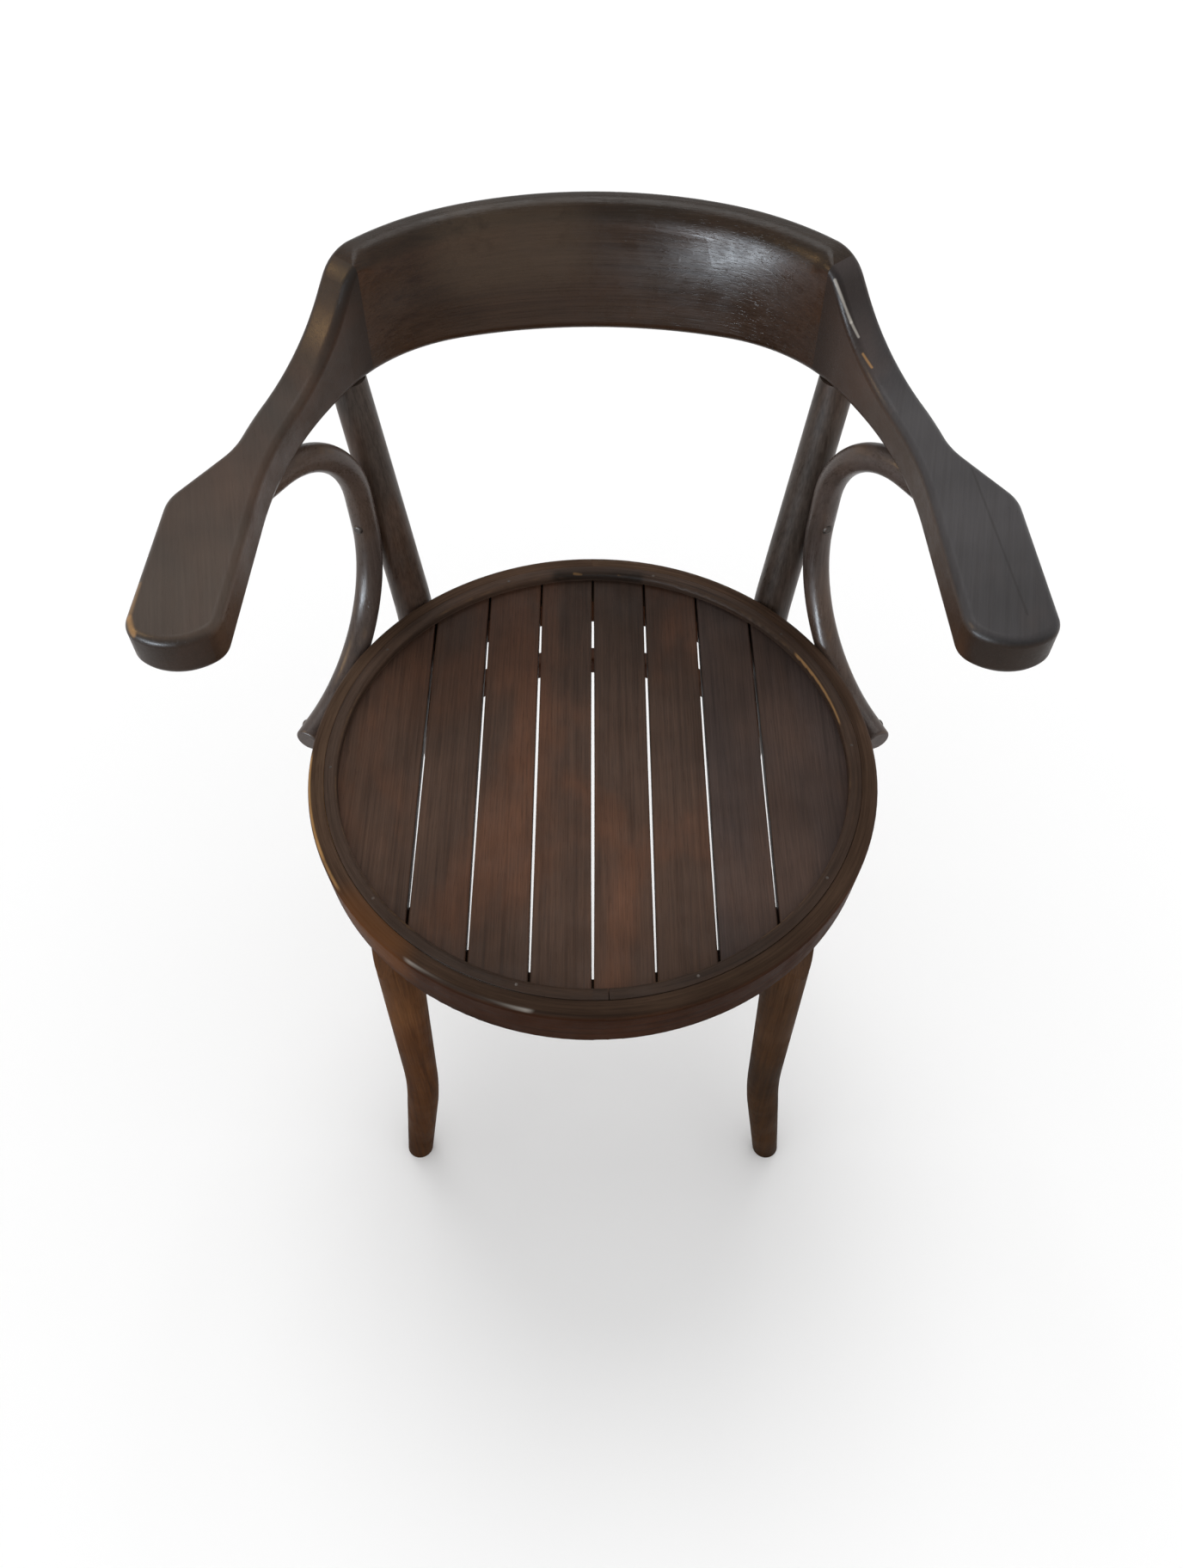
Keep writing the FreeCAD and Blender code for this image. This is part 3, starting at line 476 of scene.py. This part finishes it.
for side, turn in (("left", arm_grain_turn), ("right", -arm_grain_turn)):
    for piece in ("arm_", "arm_cheek_"):
        dress(piece + side, wood(piece + "wood_" + side, along_axis("y", turn), "arm", gloss=0.36,
                                 shine=0.12, contrast=0.28, patch=0.8, wear=0.0, top=arm_top_sheens[side],
                                 marks=arm_marks_and_glints[side], fade=darker_at_the_ends))
    dress("arm_loop_" + side, wood("loop_wood_" + side, loop_grain, "loop", gloss=0.30, shine=0.18,
                                   contrast=0.6))

# Wood on the crest
crest_grain = around(crest_high.y - crest_grain_radius, seam_ahead=True)
# Painted sheen: a soft bronze patch on the crest's face, on the sitter's right of the middle.
crest_sheen = [Mark((-0.085, 0.216, 0.722), (-0.030, 0.218, 0.722), 0.050, 0.3, bronze_sheen)]
dress("back_crest", wood("crest_wood", crest_grain, "crest", gloss=0.27, shine=0.15, contrast=0.7, wear=0.0,
                         marks=crest_sheen, fade=darker_top_edge, roll=rolled_over, crazed=crest_crazing))
dress("crest_dowels", wood("dowel_wood", along_axis("y"), "rear_leg"))

# Steel: bare bolts, nuts and hoop screws, and loop screws and nails stained over like the wood
bare_steel = steel("bare_steel", (0.030, 0.026, 0.022), (0.105, 0.095, 0.085), 0.85)
stained_steel = steel("stained_steel", (0.016, 0.012, 0.009), (0.050, 0.038, 0.030), 0.4)
for name in ("rear_leg_bolts", "rear_leg_nuts", "hoop_screws"):
    dress(name, bare_steel)
for name in ("loop_screws", "bead_nails"):
    dress(name, stained_steel)


# Floor
def make_floor(half_side, level):
    corners = [(-half_side, -half_side, level), (half_side, -half_side, level),
               (half_side, half_side, level), (-half_side, half_side, level)]
    mesh = bpy.data.meshes.new("floor")
    mesh.from_pydata(corners, [], [(0, 1, 2, 3)])
    floor = bpy.data.objects.new("floor", mesh)
    bpy.context.scene.collection.objects.link(floor)
    material, graph = new_material("floor_paint")
    shader = graph.add("ShaderNodeBsdfDiffuse", {"Color": colour([floor_white] * 3)})
    graph.add("ShaderNodeOutputMaterial", {0: shader.outputs[0]})
    mesh.materials.append(material)


make_floor(floor_half_side, floor_level)


# Light
def add_light(name, kind, place, target, **settings):
    data = bpy.data.lights.new(name, kind)
    for key, value in settings.items():
        setattr(data, key, value)
    light = bpy.data.objects.new(name, data)
    light.location = place
    light.rotation_euler = (Vector(target) - Vector(place)).to_track_quat("-Z", "Y").to_euler()
    bpy.context.scene.collection.objects.link(light)
    return light


def make_sky():
    """Soft studio sky, brightest 20 to 30 degrees up, that camera and reflections see as plain white."""
    world = bpy.data.worlds.new("studio")
    world.use_nodes = True
    sky = Graph(world.node_tree)
    direction = sky.vector("NORMALIZE", sky.add("ShaderNodeTexCoord").outputs["Generated"])
    height = sky.split(direction)[2]
    level = sky.product(sky.ramp(height, 0.0, 0.35, sky_at_horizon, sky_brightest),
                        sky.ramp(height, 0.50, 0.95, 1.0, sky_overhead_share))
    lighting = sky.add("ShaderNodeBackground", {"Color": sky.join(level, level, level), "Strength": 1.0})
    seen = sky.add("ShaderNodeBackground", {"Color": colour(white), "Strength": 1.0})
    rays = sky.add("ShaderNodeLightPath").outputs
    is_seen = sky.math("MAXIMUM", rays["Is Camera Ray"], rays["Is Glossy Ray"])
    is_seen = sky.math("MAXIMUM", is_seen, rays["Is Transmission Ray"])
    both = sky.add("ShaderNodeMixShader", {0: is_seen, 1: lighting.outputs[0], 2: seen.outputs[0]})
    sky.add("ShaderNodeOutputWorld", {0: both.outputs[0]})
    bpy.context.scene.world = world


def make_window(name, place, target, watts, width, height, tint):
    """A window that shows in the polish and lights nothing else."""
    window = add_light(name, "AREA", place, target, energy=watts, shape="RECTANGLE",
                       size=width, size_y=height, color=tint)
    window.visible_diffuse = False


make_sky()
add_light("key", "SUN", seat_middle + key_from_seat, seat_middle, energy=key_energy, angle=key_spread)
make_window("cool_window", place=(-1.50, -1.57, 0.95), target=(0.11, 0.21, 0.73), watts=125.0,
            width=1.4, height=0.45, tint=(0.80, 0.90, 1.0))
make_window("warm_window", place=(-2.05, 0.16, 2.27), target=(-0.20, 0.0, 0.60), watts=30.0,
            width=0.8, height=0.8, tint=(1.0, 0.64, 0.28))

# Camera
camera_data = bpy.data.cameras.new("camera")
camera_data.sensor_fit = "VERTICAL"
camera_data.sensor_height = sensor_height
camera_data.lens = sensor_height * focal_pixels / photo_height
camera_data.shift_x = camera_shift_pixels / photo_height
camera = bpy.data.objects.new("camera", camera_data)
camera.location = seat_middle + Vector((0.0, -camera_before_seat, camera_above_seat))
camera.rotation_euler = (math.radians(90.0 - camera_pitch), 0.0, 0.0)
bpy.context.scene.collection.objects.link(camera)
bpy.context.scene.camera = camera

bpy.context.scene.view_settings.view_transform = "Standard"
